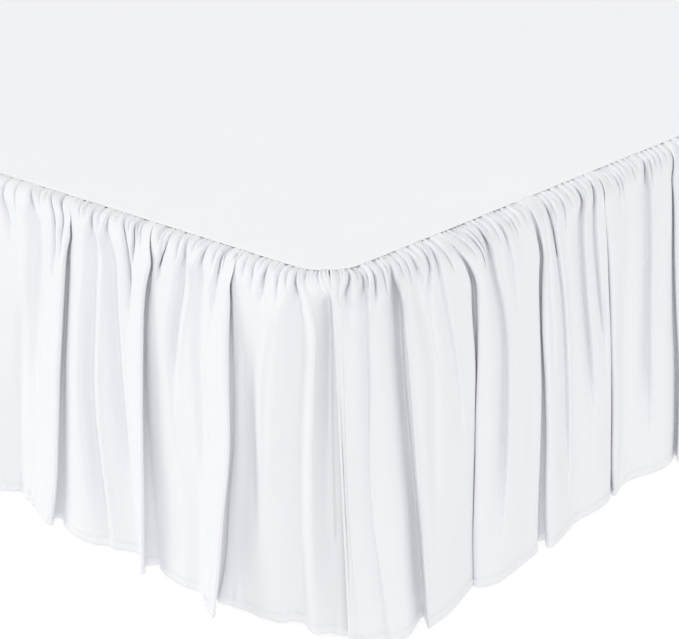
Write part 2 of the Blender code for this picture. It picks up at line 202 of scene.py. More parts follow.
# Valleys that run on below the gathers, in millimetres and shares of the hang: places at
# VALLEY_SHARES, start, fade, depth, width towards the corner and away from it, and how flat the
# bed is.
VALLEY_SHARES = (0.0, 0.03, 0.10, 0.25, 0.50, 1.0)
VALLEY_COLUMNS = ("start", "fade", "depth", "near", "far", "flat")
FOOT_VALLEYS = (
    (463, 456, 443, 438, 440, 470, 0, 0.20, 5, 4, 6, 1.5),
    (436, 426, 420, 418, 427, 452, 0.3, 1.30, 3.5, 9, 10, 2),
    (421, 404, 387, 388, 398, 420, 0, 0.78, 8.5, 3, 19, 2.6),
    (388, 370, 362, 366, 366, 366, 0, 0.26, 5, 3, 4, 1.4),
    (371, 353, 350, 355, 355, 355, 0, 0.20, 4.5, 3, 4, 1.4),
    (317, 306, 297, 298, 304, 291, 0, 1.20, 8, 5, 14, 2.3),
    (291, 283, 270, 264, 258, 249, 0, 0.90, 7.5, 4, 14, 2.2),
    (270, 255, 245, 242, 240, 240, 0, 0.30, 6, 3, 4, 1.4),
    (252, 240, 238, 240, 240, 240, 0, 0.22, 5, 3, 4, 1.4),
    (199, 194, 199, 203, 203, 203, 0, 0.15, 7, 3, 4, 1.4),
    (176, 167, 165, 173, 177, 178, 0, 0.46, 7, 4, 9, 2),
    (147, 143, 138, 138, 131, 127, 0, 0.82, 7, 4, 12, 2),
    (126, 119, 120, 122, 122, 122, 0, 0.22, 5, 3, 6, 1.5),
    (68, 61, 58, 64, 63, 61, 0, 0.80, 6, 4, 11, 2),
    (34, 25, 19, 17, 17, 15, 0, 1.40, 10.5, 2, 15, 2.4),
    (10, 7, 5, 5, 5, 6, 0.03, 1.30, 5, 3, 9, 2),
)
SIDE_VALLEYS = (
    (20, 12, 12, 12, 12, 12, 0, 0.16, 6, 3, 4, 1.4),
    (33, 26, 22, 20, 17, 28, 0, 1.20, 6, 12, 4, 2),
    (46, 37, 32, 32, 32, 32, 0, 0.13, 5, 3, 4, 1.4),
    (70, 61, 62, 60, 63, 77, 0, 1.40, 13, 17, 3, 2.6),
    (97, 93, 91, 101, 96, 86, 0, 0.75, 4, 8, 8, 2),
    (115, 111, 104, 104, 104, 104, 0, 0.20, 5, 4, 5, 1.5),
    (126, 122, 122, 130, 140, 150, 0, 0.60, 3.5, 9, 3, 1.8),
    (198, 197, 200, 211, 208, 188, 0, 0.95, 6.5, 14, 3.5, 2.2),
    (226, 224, 228, 234, 234, 234, 0, 0.28, 4, 4, 4, 1.5),
    (292, 290, 291, 290, 290, 290, 0.04, 0.50, 4, 4, 4, 1.6),
    (306, 302, 304, 310, 313, 320, 0, 1.00, 5.5, 12, 3.5, 2.4),
    (364, 361, 354, 353, 360, 370, 0, 0.75, 6, 10, 3, 2),
    (393, 385, 379, 379, 388, 396, 0, 0.60, 5.5, 7, 3, 1.6),
    (430, 429, 431, 432, 433, 434, 0, 0.16, 3.5, 4, 4, 1.4),
    (498, 487, 484, 480, 475, 486, 0, 0.95, 6.5, 14, 4, 2),
)

# Short slits of the gathers, in millimetres: place on the seam, length, depth and width.
FOOT_SLITS = (
    (483, 24, 4, 2.4), (445, 30, 4, 2.4), (407, 20, 4.5, 2.2), (397, 12, 3, 2),
    (364, 18, 4, 2), (339, 18, 3.5, 2.2), (329, 14, 3, 2), (305, 20, 4, 2.4),
    (282, 12, 3, 2), (261, 18, 3.5, 2), (243, 18, 3.5, 2), (235, 24, 3.5, 2.4),
    (213, 18, 4, 2.2), (207, 28, 4, 2.4), (185, 26, 4.5, 2.4), (165, 16, 3.5, 2),
    (158, 12, 3, 2), (134, 22, 4.5, 2.4), (117, 26, 4, 2.4), (95, 24, 4, 2.4),
    (84, 28, 4.5, 2.4), (76, 14, 3, 2), (52, 30, 5, 2.4), (43, 20, 4, 2),
    (24, 18, 3, 2.4), (12, 20, 3, 2.4),
)
SIDE_SLITS = (
    (10, 26, 4.5, 2.4), (28, 16, 3, 2), (38, 26, 4, 2.2), (58, 34, 4, 2.4),
    (64, 16, 3, 2), (80, 20, 4, 2.2), (88, 30, 3.5, 2.2), (106, 14, 3.5, 2),
    (136, 34, 4, 2.6), (157, 28, 4, 2.4), (164, 16, 3.5, 2), (172, 44, 4.5, 2.6),
    (182, 40, 4, 2.6), (190, 20, 3.5, 2), (208, 20, 3.5, 2.2), (217, 26, 4, 2.4),
    (240, 22, 4, 2.2), (247, 26, 4, 2.4), (256, 20, 3.5, 2.2), (268, 20, 3.5, 2.2),
    (316, 30, 3.5, 2.6), (326, 16, 3, 2), (334, 38, 4, 2.8), (346, 20, 3.5, 2.2),
    (356, 16, 3, 2), (376, 18, 3.5, 2.2), (386, 14, 3, 2), (416, 20, 3.5, 2.2),
    (424, 16, 3.5, 2.2), (442, 34, 3.5, 2.8), (452, 20, 3, 2.2), (462, 16, 3, 2),
    (473, 24, 4, 2.4), (481, 16, 3, 2), (509, 34, 4, 2.8), (518, 20, 3.5, 2.2),
    (528, 26, 3.5, 2.4), (540, 18, 3, 2.2),
)

# How slits and valleys are shaped. All valleys start alike and take their own shape by TOP_END.
TOP_DEPTH = 8.0
TOP_WIDTH = 1.0
TOP_POWER = 1.2
TOP_END = 0.11
VALLEY_GAIN = 1.4
RIM = 0.12
RIM_PLACE = 2.1
RIM_WIDTH = 0.9
LET_GO = 0.25
SLIT_OFFSETS = (-1.7, -0.8, 0.0, 0.8, 1.7)
SLIT_DEPTH = 2.3
SLIT_REACH = 1.5
SLIT_SOFT = 1.7
SLIT_SHARP = 0.6
SLIT_SIDES = 0.28
SEEN_WINDOW = 0.030
VALLEY_MARGIN = 0.002
LINE_GAP = 0.003
RELAXING_ROUNDS = 12

# Ranges for the slits and valleys past those: how far apart they are, how many run on as valleys,
# and their sizes.
SLIT_PITCH = (9, 18)
VALLEY_SHARE = 0.30
SLIT_RANGES = ((14, 40), (3.0, 4.5), (2.2, 3.0))
VALLEY_RANGES = ((0, 0), (0.28, 1.2), (5, 8.5), (3, 9), (5, 14), (1.5, 2.4))
VALLEY_DRIFTS = ((0, 0), (-10, -2), (-12, -1), (-13, 3), (-14, 6), (-16, 10))

# Small puckers of the gathering stitches, in millimetres.
FIRST_PUCKER = 2
PUCKER_PITCH = (3.6, 5.6)
FAR_PUCKER_PITCH = (7.0, 10.0)
PUCKER_DEPTH = (1.8, 3.8)
PUCKER_LENGTH = (8, 24)
PUCKER_SINK = 0.7

# How finely the cloth's grid is laid.
NEAR_STEP = 0.0018
SLIT_MARGIN = 0.004
CLOSEST_SLITS = 0.0005
CLOSEST_STEPS = 0.0009
RUN_STEPS = 24
SHOULDER_STEPS = 12
UPPER_STEPS = 11
UPPER_END = 0.17
LOWER_STEPS = 18

# The deck's seam and grid, and the box spring's border with its two rolled tapes.
DECK_DIP = 0.0004
DIP_WIDTH = 0.0045
DECK_LINES = (0, 0.8, 1.8, 3.2, 5.5, 9, 14, 21, 31, 42)
DECK_MARGIN = 0.060
DECK_STEP = 0.016
BOTTOM_EDGE_RADIUS = 0.008
TAPE_RADIUS = 0.003
TAPES = (BOX_LOW.z + 0.012, BOX_TOP - SOFT_EDGE_RADIUS - 0.006)
TAPE_CUTS = (-1.0, -0.8, -0.45, 0.0, 0.45, 0.8, 1.0)
BORDER_CROWN = 0.002

# A leg's radius at heights above the floor, then at depths below its top.
LEG_BELOW = (
    (0, 0), (0.019, 0), (0.0215, 0.002), (0.022, 0.005),
    (0.0225, 0.030), (0.0245, 0.075), (0.0272, 0.120),
)
LEG_ABOVE = (
    (0.0285, 0.0175), (0.0305, 0.0165), (0.0312, 0.0145), (0.0305, 0.0125),
    (0.0318, 0.0115), (0.0320, 0.0010), (0.0310, 0), (0, 0),
)

# Colours and light.
# The deck's two whites are its own white cloth, raised above the skirt's: painted light, standing
# in for more light falling on the top.
DECK_WHITE_WITH_PAINTED_LIGHT = (0.955, 0.962, 0.988, 1.0)
DECK_SHADE_WITH_PAINTED_LIGHT = (0.912, 0.919, 0.947, 1.0)
SKIRT_WHITE = (0.868, 0.875, 0.900, 1.0)
SKIRT_SHADE = (0.852, 0.859, 0.886, 1.0)
TICKING = ((0.74, 0.74, 0.73, 1.0), (0.64, 0.64, 0.63, 1.0))
STAIN = ((0.19, 0.105, 0.06, 1.0), (0.07, 0.038, 0.022, 1.0))
FLOOR_SIZE = 60.0
FLOOR_GREY = (0.25, 0.25, 0.25, 1.0)
FLOOR_GLOW = 0.80
ROOM_LIGHT = 0.495

# Lamps: azimuth and elevation in degrees, strength, and breadth in degrees.
KEYS = (
    ("left_key", -145.0, 41.5, 0.335, 28.0),
    ("middle_key", -52.0, 41.5, 0.222, 28.0),
    ("right_fill", 16.0, 40.0, 0.16, 70.0),
)


# Reading the folds of the solids.


class Edge:
    """One edge of the deck, with a rounded corner at its start and maybe at its end."""

    def __init__(self, corner, along, outward, length, round_end):
        self.corner = np.array(corner, float)
        self.along = np.array(along, float)
        self.outward = np.array(outward, float)
        self.length = length
        self.round_end = round_end
        self.seam_end = length - (CORNER_GAP if round_end else SOLID_CLOTH)
        self.ends = [(length - back, out) for back, out in (CORNER_END if round_end else HEAD_END)]
        self.clockwise = self.along[1] * self.outward[0] > self.along[0] * self.outward[1]

    def place(self, distance, out):
        """The plan points at a distance along the seam and that far out from it."""
        left = self.length - distance
        at_start = distance < CORNER_RADIUS
        at_end = (left < CORNER_RADIUS) & self.round_end
        turn = np.where(at_start, -(1 - distance / CORNER_RADIUS), 0.0)
        turn = np.where(at_end, 1 - left / CORNER_RADIUS, turn) * math.pi / 4
        run = np.where(at_start, CORNER_RADIUS, distance)
        run = np.where(at_end, self.length - CORNER_RADIUS, run)
        reach = (out + CORNER_RADIUS)[..., None]
        facing = self.outward * np.cos(turn)[..., None] + self.along * np.sin(turn)[..., None]
        middle = self.corner + self.along * run[..., None] - self.outward * CORNER_RADIUS
        return middle + facing * reach


FOOT_EDGE = Edge((SIDE_SEAM_X, FOOT_SEAM_Y), (-1, 0), (0, -1), DECK_WIDTH, True)
RIGHT_EDGE = Edge((SIDE_SEAM_X, FOOT_SEAM_Y), (0, 1), (1, 0), DECK_LENGTH, False)
LEFT_EDGE = Edge((-SIDE_SEAM_X, FOOT_SEAM_Y), (0, 1), (-1, 0), DECK_LENGTH, False)


def fold_rows(shown, length, rng):
    """The folds of one panel: the ones set above, then more in their manner."""
    rows = [dict(zip(FOLD_COLUMNS, row)) for row in shown]
    reach = length / MM - PLAIN_END
    while True:
        tip = rows[-1]["tuck"] - rng.uniform(*LAP_RANGE)
        pitch = rng.uniform(*FOLD_PITCH)
        last = tip + LONGEST_LAST_FOLD * pitch > reach
        if last:
            pitch = reach - tip
        row = {"seam": tip + rng.uniform(*SEAM_DRIFT), "tip": tip}
        row["tip_out"] = max(rng.uniform(*TIP_RANGE), rows[-1]["ebb_out"] + LAYER_GAP)
        for name, share, out in FOLD_LINES:
            row[name] = tip + pitch * rng.uniform(*share)
            row[name + "_out"] = rng.uniform(*out)
        row["tuck"] = tip + pitch * TUCK_SHARE
        row["tuck_out"] = rng.uniform(*TUCK_RANGE)
        rows.append(row)
        if last:
            return rows


def fold_path(row, slant, rng):
    """The path of a fold that no table gives: it leans to the corner on its way down."""
    out = row["tip_out"] + TIP_LIFT / MM + SEAM_START / MM - MEAN_REACH / MM
    bottom = row["tip"] + slant * out
    lean = rng.uniform(*LEAN_RANGE)
    band = rng.uniform(*BAND_RANGE)
    seen = [
        row["seam"] + (bottom - row["seam"]) * share - lean * shape
        for share, shape in zip(PATH_SHARES, LEAN_SHAPE)
    ]
    return seen, [band * width for width in BAND_SHAPE], DEPTH_SHAPE


# Curves.


def smooth(x):
    x = np.clip(x, 0.0, 1.0)
    return x * x * (3 - 2 * x)


def mix(one, other, share):
    return one + (other - one) * share


def hermite(start, end, leave, arrive, share):
    """A point on the smooth curve from start to end, with its ways out and in."""
    square = share * share
    cube = square * share
    return (
        start * (2 * cube - 3 * square + 1)
        + leave * (cube - 2 * square + share)
        + end * (3 * square - 2 * cube)
        + arrive * (cube - square)
    )


def curve(places, knots, values):
    """A smooth curve through the values at the knots, read at the places."""
    knots, values = np.array(knots, float), np.array(values, float)
    slopes = np.gradient(values, knots)
    i = np.clip(np.searchsorted(knots, places, side="right") - 1, 0, len(knots) - 2)
    width = knots[i + 1] - knots[i]
    share = np.clip((places - knots[i]) / width, 0, 1)
    return hermite(values[i], values[i + 1], slopes[i] * width, slopes[i + 1] * width, share)


def lattice(across, down, pitch, rise, rng):
    """Soft random unevenness from -1 to 1, for places across and down the cloth."""
    u, v = across / pitch, down / rise
    size = (int(u.max()) + 3, int(v.max()) + 3)
    values = np.array([[rng.uniform(-1, 1) for _ in range(size[1])] for _ in range(size[0])])
    i, j = np.floor(u).astype(int), np.floor(v).astype(int)
    a, b = smooth(u - i), smooth(v - j)
    low = values[i, j] * (1 - a) + values[i + 1, j] * a
    high = values[i, j + 1] * (1 - a) + values[i + 1, j + 1] * a
    return low * (1 - b) + high * b


# The way a panel hangs.


class Hang:
    """The rows of a panel from the seam down, and how its cloth lies at each of them."""

    def __init__(self):
        angles = np.linspace(0, math.pi / 2, SHOULDER_STEPS + 1)
        shoulder = ROLL_RADIUS * (1 - np.cos(angles)) / HANG
        hem = HEM_WIDTH / HANG
        upper = np.linspace(shoulder[-1], UPPER_END, UPPER_STEPS + 1)[1:]
        lower = np.linspace(UPPER_END, 1 - 1.6 * hem, LOWER_STEPS + 1)[1:]
        band = 1 - hem * np.array((1.2, 1.0, 0.85, 0.5, 0.0))
        self.shares = np.concatenate((shoulder, upper, lower, band))
        below = np.full(len(self.shares) - len(angles), math.pi / 2)
        angles = np.concatenate((angles, below))
        self.outward, self.upward = np.sin(angles), np.cos(angles)
        self.loose = np.minimum(angles / FREE_ANGLE, 1.0)
        self.below_seam = ROLL_RADIUS * angles + (self.shares - shoulder[-1]).clip(0) * HANG
        self.growth = 1 - (1 - self.shares) ** GROWTH
        self.lap = smooth((self.shares - 0.03) / 0.14)
        self.mean_out = self.reach(MEAN_REACH)

    def reach(self, out):
        """How far out each row lies, where the bottom edge lies that far out."""
        return SEAM_START + ROLL_RADIUS * self.outward + (out - ROLL_RADIUS) * self.growth

    def path(self, values):
        """A path down the hang in metres, from millimetres at PATH_SHARES."""
        return curve(self.shares, PATH_SHARES, values) * MM

    def top(self, size):
        """How far a gather has opened below the seam, for one that takes size to open."""
        return smooth((self.below_seam + 0.001) / size)


class Knot:
    """A line of cloth at which a panel bends: its place, reach and lift in every row."""

    def __init__(self, hang, name, place, out, sink=0.0):
        self.name = name
        self.place = place
        self.out = hang.reach(out) - sink * hang.outward
        self.lift = -sink * hang.upward + 0 * hang.shares

    def bottom(self):
        return float(np.atleast_1d(self.place)[-1]), self.out[-1], 0.0


def lap_knots(hang, row, following, path, slant):
    """The cloth's way in behind the next fold: brow, channel's floor, turn and tip."""
    seen, band, depth = (hang.path(values) for values in path)
    band = np.maximum(band, NARROWEST_BAND)
    opened = smooth(hang.shares / 0.03)
    tip_lift = TIP_LIFT * smooth(hang.shares / 0.08)
    tip = Knot(hang, "tip", None, following["tip_out"] * MM, -tip_lift)
    tip.place = seen - slant * (tip.out - hang.mean_out)
    brow_out = row["ebb_out"] * MM + BROW_RISE
    brow = Knot(hang, "brow", None, brow_out)
    brow.place = seen - band - slant * (brow.out - hang.mean_out)
    floor_place = brow.place + mix(band / 3, FLOOR_STEP, opened)
    floor = Knot(hang, "floor", floor_place, brow_out, depth)
    turn = np.maximum(tip.place + TUCK_LAP * hang.lap, floor_place + TUCK_STEP)
    tuck_place = mix(brow.place + band * 2 / 3, turn, opened)
    tuck_drop = TUCK_DROP * smooth(hang.shares / 0.12)
    tuck = Knot(hang, "tuck", tuck_place, following["tip_out"] * MM, tuck_drop)
    return [brow, floor, tuck, tip]


def panel_knots(edge, hang, folds, paths, slant, rng, path_rng):
    """All the lines at which one panel bends."""
    rows = fold_rows(folds, edge.length, rng)
    knots = [Knot(hang, "start", rows[0]["tip"] * MM, rows[0]["tip_out"] * MM)]
    for number, row in enumerate(rows):
        is_last = number + 1 == len(rows)
        for name in ("waist", "belly", "ebb") if is_last else ("waist", "belly"):
            knots.append(Knot(hang, name, row[name] * MM, row[name + "_out"] * MM))
        if not is_last:
            following = rows[number + 1]
            path = fold_path(following, slant, path_rng) if number >= len(paths) else paths[number]
            knots += lap_knots(hang, row, following, path, slant)
    limit = edge.ends[0][0] - END_MARGIN
    knots = [knot for knot in knots if knot.bottom()[0] < limit]
    return knots + [Knot(hang, "end", place, out) for place, out in edge.ends]


class Bends:
    """The smooth curve through a panel's knots, at each of some rows."""

    def __init__(self, points, turns, lap, outward, upward):
        self.points = points
        way = np.gradient(points, axis=0)
        self.way = way / np.linalg.norm(way, axis=2, keepdims=True)
        self.lap = lap[:, None] * turns[:, None, None]
        self.turned = np.stack((0 * outward, outward, upward), axis=1) * TURN_SIZE

    def at(self, i, share):
        """The points past knot i, for a share of the way to the next."""
        start, end = self.points[i], self.points[i + 1]
        length = np.linalg.norm(end - start, axis=1, keepdims=True)
        leave = mix(self.way[i] * length, self.turned, self.lap[i])
        arrive = mix(self.way[i + 1] * length, self.turned, self.lap[i + 1])
        return hermite(start, end, leave, arrive, share)


class Columns:
    """The lines of cloth down a panel, each with its place, reach and lift in every row."""

    def __init__(self, edge, hang, knots, slits, near, far_step):
        turns = np.array([knot.name in ("tip", "tuck") for knot in knots], float)
        one, none = np.ones(1), np.zeros(1)
        bottom = Bends(np.array([[knot.bottom()] for knot in knots]), turns, one, one, none)
        shares = np.linspace(0, 1, RUN_STEPS + 1)
        runs = []
        for i in range(len(knots) - 1):
            rough = np.array([bottom.at(i, share)[0] for share in shares])
            steps = np.linalg.norm(np.diff(rough, axis=0), axis=1)
            runs.append(np.concatenate(([0.0], np.cumsum(steps))))
        marks = np.concatenate(([0.0], np.cumsum([run[-1] for run in runs])))
        self.full = marks[-1]
        self.marks = {}
        pinned = {0: CORNER_GAP, len(knots) - 1: edge.seam_end}
        for i, knot in enumerate(knots):
            self.marks.setdefault(knot.name, []).append(marks[i])
            if np.ndim(knot.place):
                pinned[i] = knot.place[0]
        places = sorted(pinned)
        seams = np.interp(marks, marks[places], [pinned[i] for i in places])
        self.settle(hang, knots, seams)
        self.cloth = self.spread(knots, marks, seams, slits, near, far_step)
        self.seam = np.interp(self.cloth, marks, seams)
        self.seam_marks = (seams, marks)
        rows = [np.stack((knot.place, knot.out, knot.lift), axis=1) for knot in knots]
        bends = Bends(np.array(rows), turns, hang.lap, hang.outward, hang.upward)
        points = []
        for cloth in self.cloth:
            i = min(np.searchsorted(marks, cloth, side="right") - 1, len(runs) - 1)
            points.append(bends.at(i, np.interp(cloth - marks[i], runs[i], shares)))
        self.place, self.out, self.lift = np.moveaxis(np.array(points), 2, 0)
        left = self.full - self.cloth
        near_end = (left < self.cloth) & edge.round_end
        self.from_corner = np.where(near_end, left, self.cloth)
        self.towards_end = np.where(near_end, -1, 1)

    def settle(self, hang, knots, seams):
        """Gives each plain knot its place in every row, swayed with the tips beside it."""
        guides = [0] + [i for i, knot in enumerate(knots) if knot.name == "tip"] + [len(knots) - 1]
        sways = []
        for i in guides:
            line = knots[i].place
            straight = mix(seams[i], knots[i].bottom()[0], hang.shares)
            sways.append(line - straight if np.ndim(line) else 0 * hang.shares)
        for i, knot in enumerate(knots):
            if np.ndim(knot.place):
                continue
            after = np.clip(np.searchsorted(guides, i), 1, len(guides) - 1)
            first, last = seams[guides[after - 1]], seams[guides[after]]
            sway = mix(sways[after - 1], sways[after], (seams[i] - first) / (last - first))
            knot.place = mix(seams[i], knot.place, hang.shares) + sway

    def spread(self, knots, marks, seams, slits, near, far_step):
        """Where the columns are laid: evenly, and close together at the slits."""
        regular, fine = [], []
        for i in range(len(knots) - 1):
            step = NEAR_STEP if seams[i] < near else far_step
            count = max(2, round((marks[i + 1] - marks[i]) / step))
            regular += list(np.linspace(marks[i], marks[i + 1], count, endpoint=False))
        regular.append(marks[-1])
        for place, offsets in slits:
            fine += list(np.interp(place + np.array(offsets) * MM, seams, marks))
        last = marks[-1] - SLIT_MARGIN
        fine = [place for place in sorted(fine) if SLIT_MARGIN < place < last]
        gaps = [CLOSEST_SLITS * 2] + list(np.diff(fine))
        kept = [place for place, gap in zip(fine, gaps) if gap > CLOSEST_SLITS]
        gaps = [min((abs(place - other) for other in kept), default=1.0) for place in regular]
        regular = [place for place, gap in zip(regular, gaps) if gap > CLOSEST_STEPS]
        return np.array(sorted(regular + kept))

    def read(self, values, cloth):
        """The values down the line of cloth at one place across it."""
        i = int(np.clip(np.searchsorted(self.cloth, cloth) - 1, 0, len(self.cloth) - 2))
        share = (cloth - self.cloth[i]) / (self.cloth[i + 1] - self.cloth[i])
        return mix(values[i], values[i + 1], np.clip(share, 0, 1))

    def spans(self):
        """The stretches of cloth between one fold's tip and its brow."""
        starts = self.marks["start"] + self.marks["tip"]
        stops = self.marks["brow"][:len(starts) - 1] + self.marks["end"][-1:]
        return list(zip(starts, stops))


# Gathers and creases.


class Valley:
    """A crease that runs on down from the gathers: its path, depth and widths."""

    def __init__(self, row):
        self.path = row[:len(VALLEY_SHARES)]
        for name, value in zip(VALLEY_COLUMNS, row[len(VALLEY_SHARES):]):
            setattr(self, name, value)
        self.seam = self.path[0] * MM

    def held(self, hang):
        """How far its line of cloth still follows its path, row by row."""
        return 1 - smooth((hang.shares - self.fade) / LET_GO)

    def depth_at(self, hang, offset):
        """How deep it is in metres, for offsets from its line in every row."""
        shares = hang.shares
        opened = hang.top(0.0030)
        if self.start:
            opened = smooth((shares - self.start) / (0.03 + 0.3 * self.start))
        closed = smooth((self.fade - shares) / (0.04 + 0.35 * self.fade))
        grown = smooth(shares / TOP_END)
        top_depth = min(TOP_DEPTH, self.depth + 2.0)
        size = VALLEY_GAIN * mix(top_depth, self.depth, grown) * opened * closed
        near, far = mix(TOP_WIDTH, self.near, grown), mix(TOP_WIDTH, self.far, grown)
        power = mix(TOP_POWER, self.flat, grown)
        offset = offset / MM
        trough = np.exp(-(np.abs(offset) / np.where(offset < 0, near, far)) ** power)
        sharp, towards = (near, -1) if self.near <= self.far else (far, 1)
        rim_offset = (offset * towards - RIM_PLACE * sharp) / (RIM_WIDTH * sharp)
        rim = RIM * np.exp(-(rim_offset ** 2))
        return size * (trough - rim) * MM


def slit_depth(slit, hang, offset, soft_way):
    """How deep a short slit of the gathers is, for offsets from its line in every row."""
    _, length, depth, width = slit
    fall = np.clip(1 - hang.below_seam / (SLIT_REACH * length * MM), 0, 1)
    wide = width * (1 + (1 - fall))
    side = np.where(offset * soft_way > 0, SLIT_SOFT, SLIT_SHARP)
    offset = np.abs(offset / MM) / (wide * side)
    trough = mix(np.exp(-((3.6 * offset) ** 2)), np.exp(-(1.1 * offset) ** 1.3), SLIT_SIDES)
    return SLIT_DEPTH * depth * fall * hang.top(0.001) * trough * MM


def gathers(shown_valleys, shown_slits, length, rng):
    """The creases and slits of one panel: the ones set above, then more in their manner."""
    valleys = [Valley(row) for row in shown_valleys]
    slits = list(shown_slits)
    place = max(slit[0] for slit in slits)
    while place + SLIT_PITCH[1] < length / MM:
        place += rng.uniform(*SLIT_PITCH)
        if rng.random() < VALLEY_SHARE:
            lean = rng.random()
            path = [place + mix(*drift, lean) for drift in VALLEY_DRIFTS]
            valleys.append(Valley(path + [rng.uniform(*span) for span in VALLEY_RANGES]))
        else:
            slits.append((place, *(rng.uniform(*span) for span in SLIT_RANGES)))
    return valleys, slits


def keep_order(lines):
    """Lines across a fold, moved as little as keeps them in order between the outer two."""
    gap = np.minimum((lines[-1] - lines[0]) / (2 * len(lines)), LINE_GAP)
    for i in range(1, len(lines) - 1):
        lines[i] = np.maximum(lines[i], lines[i - 1] + gap)
    for i in range(len(lines) - 2, 0, -1):
        lines[i] = np.minimum(lines[i], lines[i + 1] - gap)
    return lines


def relaxed(cloths, own, held):
    """How far each line is moved: as its own path says while held, then as its neighbours."""
    still = 0 * (own[0] if own else np.zeros(1))
    shifts = [still] + list(own) + [still]
    for _ in range(RELAXING_ROUNDS):
        for i in range(1, len(cloths) - 1):
            share = (cloths[i] - cloths[i - 1]) / (cloths[i + 1] - cloths[i - 1])
            between = mix(shifts[i - 1], shifts[i + 1], share)
            shifts[i] = mix(between, own[i - 1], held[i - 1])
    return shifts


def follow_valleys(columns, hang, valleys, seen):
    """Moves the columns along the edge until each valley's column lies on its path."""
    names = ("start", "brow", "floor", "tuck", "tip", "end")
    fixed = [mark for name in names for mark in columns.marks[name]]
    controls = {mark: 0 * hang.shares for mark in fixed}
    kept = []
    for first, last in columns.spans():
        inside = []
        for valley in valleys:
            valley.cloth = np.interp(valley.seam, *columns.seam_marks)
            if first + VALLEY_MARGIN < valley.cloth < last - VALLEY_MARGIN:
                inside.append(valley)
        inside.sort(key=lambda valley: valley.cloth)
        cloths = [first] + [valley.cloth for valley in inside] + [last]
        natural = [columns.read(seen, cloth) for cloth in cloths]
        paths = [curve(hang.shares, VALLEY_SHARES, valley.path) * MM for valley in inside]
        own = [path - line for path, line in zip(paths, natural[1:])]
        shifts = relaxed(cloths, own, [valley.held(hang) for valley in inside])
        lines = keep_order([line + shift for line, shift in zip(natural, shifts)])
        for valley, line in zip(inside, lines[1:]):
            valley.line = line
            controls[valley.cloth] = line - columns.read(seen, valley.cloth)
        kept += inside
    marks = sorted(controls)
    moves = np.array([controls[mark] for mark in marks])
    shift = np.column_stack([np.interp(columns.cloth, marks, row) for row in moves.T])
    columns.place = columns.place + shift
    return kept, seen + shift


def corner_fullness(hang, columns):
    """How much further out the foot's cloth stands beside the corner."""
    past = columns.seam
    across = smooth((past - 0.008) / 0.020) * (1 - smooth((past - 0.060) / 0.035))
    down = smooth(hang.shares / 0.12) * (1 - 0.75 * smooth((hang.shares - 0.7) / 0.3))
    return CORNER_FULLNESS * across[:, None] * down


def stitch_puckers(near, length, rng):
    """Small puckers right below the seam: place, width, depth and length, in millimetres."""
    puckers = []
    place = FIRST_PUCKER
    while place < length / MM:
        width = rng.uniform(*(PUCKER_PITCH if place * MM < near else FAR_PUCKER_PITCH))
        place += width / 2
        puckers.append((place, width, rng.uniform(*PUCKER_DEPTH), rng.uniform(*PUCKER_LENGTH)))
        place += width / 2
    return puckers


def pucker_depth(columns, hang, puckers):
    """How deep the puckers are, in metres."""
    depth = np.zeros_like(columns.place)
    for place, width, size, reach in puckers:
        offset = (columns.seam / MM - place) / (width * 0.5)
        window = np.abs(offset) < 1
        fall = np.clip(1 - hang.below_seam / (reach * MM), 0, 1)[None, :]
        cusp = PUCKER_SINK - np.sin(np.abs(offset[window, None]) * math.pi / 2)
        depth[window] += size * fall * cusp
    return depth * MM


def gather_relief(hang, columns, valleys, slits, puckers, soft_way):
    """How far the gathers and creases sink into the cloth, in metres."""
    seen = columns.place + columns.lean * (columns.out - hang.mean_out)
    valleys, seen = follow_valleys(columns, hang, valleys, seen)
    depth = pucker_depth(columns, hang, puckers)
    for valley in valleys:
        window = np.abs(columns.seam - valley.seam) < SEEN_WINDOW
        depth[window] += valley.depth_at(hang, seen[window] - valley.line)
    for slit in slits:
        cloth = np.interp(slit[0] * MM, *columns.seam_marks)
        window = np.abs(columns.seam - slit[0] * MM) < 4 * slit[3] * MM
        offset = seen[window] - columns.read(seen, cloth)
        depth[window] += slit_depth(slit, hang, offset, soft_way)
    from_end = columns.full - columns.cloth
    return depth * smooth(from_end / (HEM_WIDTH * 2))[:, None]


# The panel's grid.


def clear_of_box(out, height, loose):
    """Moves cloth off the box spring's face and its soft upper edge."""
    dx = np.maximum(out - SOFT_CENTRE_OUT, 0.0)
    dz = np.maximum(height - SOFT_CENTRE_HEIGHT, 0.0)
    away = np.maximum(np.hypot(dx, dz), 1e-6)
    least = SOFT_EDGE_RADIUS + CLOTH / 2 + EDGE_CLEARANCE * loose
    push = np.where((away < least) & (height > FREE_HEIGHT), least / away - 1, 0.0)
    return out + dx * push, height + dz * push


def cloth_normals(points, edge):
    """Directions out of the cloth's face."""
    normals = np.cross(np.gradient(points, axis=0), np.gradient(points, axis=1))
    normals /= np.maximum(np.linalg.norm(normals, axis=2, keepdims=True), 1e-9)
    return normals * (-1 if edge.clockwise else 1)


